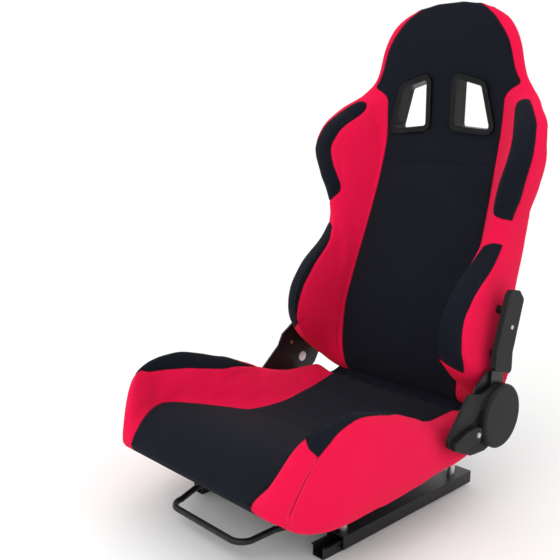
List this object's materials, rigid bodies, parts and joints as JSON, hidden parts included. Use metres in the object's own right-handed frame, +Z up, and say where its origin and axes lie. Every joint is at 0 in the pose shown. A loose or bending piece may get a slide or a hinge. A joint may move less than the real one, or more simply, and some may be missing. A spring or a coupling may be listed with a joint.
{
  "type": "racing seat",
  "caption": "Reclining bucket seat with side bolsters, head section, harness slots and a round-cover recliner, on ball slider rails with a lift-up bar.",
  "frame": {"origin": "centre of the four floor bolt holes, on the underside of the floor rails", "axes": "+X towards the side with the recline lever, -Y towards the front of the seat, +Z up"},
  "size_m": [0.545, 0.6976, 0.93],
  "materials": {
    "black_steel": "satin black powder coat",
    "zinc": "bright zinc plate",
    "moulded": "fine grain moulded plastic",
    "cushion": "brushed knit fabric in red and black over foam"
  },
  "bodies": {
    "floor_rails": {"lower_rail_left": "black_steel", "lower_rail_right": "black_steel", "lock_strip_left": "black_steel", "lock_strip_right": "black_steel"},
    "ball_cages": {"ball_cage_left": "zinc", "ball_cage_right": "zinc", "rail_balls_left": "zinc", "rail_balls_right": "zinc"},
    "seat": {"upper_rail_left": "black_steel", "upper_rail_right": "black_steel", "bar_bracket_left": "black_steel", "bar_bracket_right": "black_steel", "bar_pin_left": "zinc", "bar_pin_right": "zinc", "rail_spacers": "zinc", "rail_bolts": "zinc", "squab_frame": "black_steel", "squab_springs": "zinc", "squab_cushion": "cushion", "recliner_plate_left": "black_steel", "recliner_plate_right": "black_steel", "plate_bolts": "zinc", "stop_pins": "zinc", "hinge_pin_left": "zinc", "hinge_pin_right": "zinc", "return_spring": "zinc", "recliner_cover": "moulded", "cover_screw": "zinc"},
    "towel_bar": {"towel_bar": "black_steel", "lock_pawl_left": "zinc", "lock_pawl_right": "zinc"},
    "lever": {"recliner_lever": "moulded", "lever_pin": "zinc", "lever_screw": "zinc", "recliner_pawl": "zinc"},
    "backrest": {"recliner_arm_left": "black_steel", "recliner_arm_right": "black_steel", "arm_bolts": "zinc", "arm_cover": "moulded", "arm_cover_screw": "zinc", "backrest_frame": "black_steel", "backrest_springs": "zinc", "backrest_cushion": "cushion", "harness_guide_front_left": "moulded", "harness_guide_front_right": "moulded", "harness_guide_rear_left": "moulded", "harness_guide_rear_right": "moulded"}
  },
  "joints": [
    {"name": "seat_slide", "type": "slide", "parent": "floor_rails", "child": "seat", "axis": [0, -1, 0], "range_m": [-0.039, 0.121]},
    {"name": "cage_slide", "type": "slide", "parent": "floor_rails", "child": "ball_cages", "axis": [0, -1, 0], "range_m": [-0.0197, 0.061]},
    {"name": "bar_lift", "type": "hinge", "parent": "seat", "child": "towel_bar", "pos_m": [0, 0.121, 0.013], "axis": [-1, 0, 0], "range_deg": [0, 5], "stiffness_Nm_per_rad": 8, "springref_deg": -11.46},
    {"name": "recline", "type": "hinge", "parent": "seat", "child": "backrest", "pos_m": [0, 0.177, 0.179], "axis": [-1, 0, 0], "range_deg": [-12, 45]},
    {"name": "lever_lift", "type": "hinge", "parent": "seat", "child": "lever", "pos_m": [0.256, 0.099, 0.165], "axis": [-1, 0, 0], "range_deg": [0, 10], "stiffness_Nm_per_rad": 1.5, "springref_deg": -11.46}
  ],
  "couplings": [
    {"joint": "cage_slide", "follows": "seat_slide", "ratio": 0.5}
  ]
}
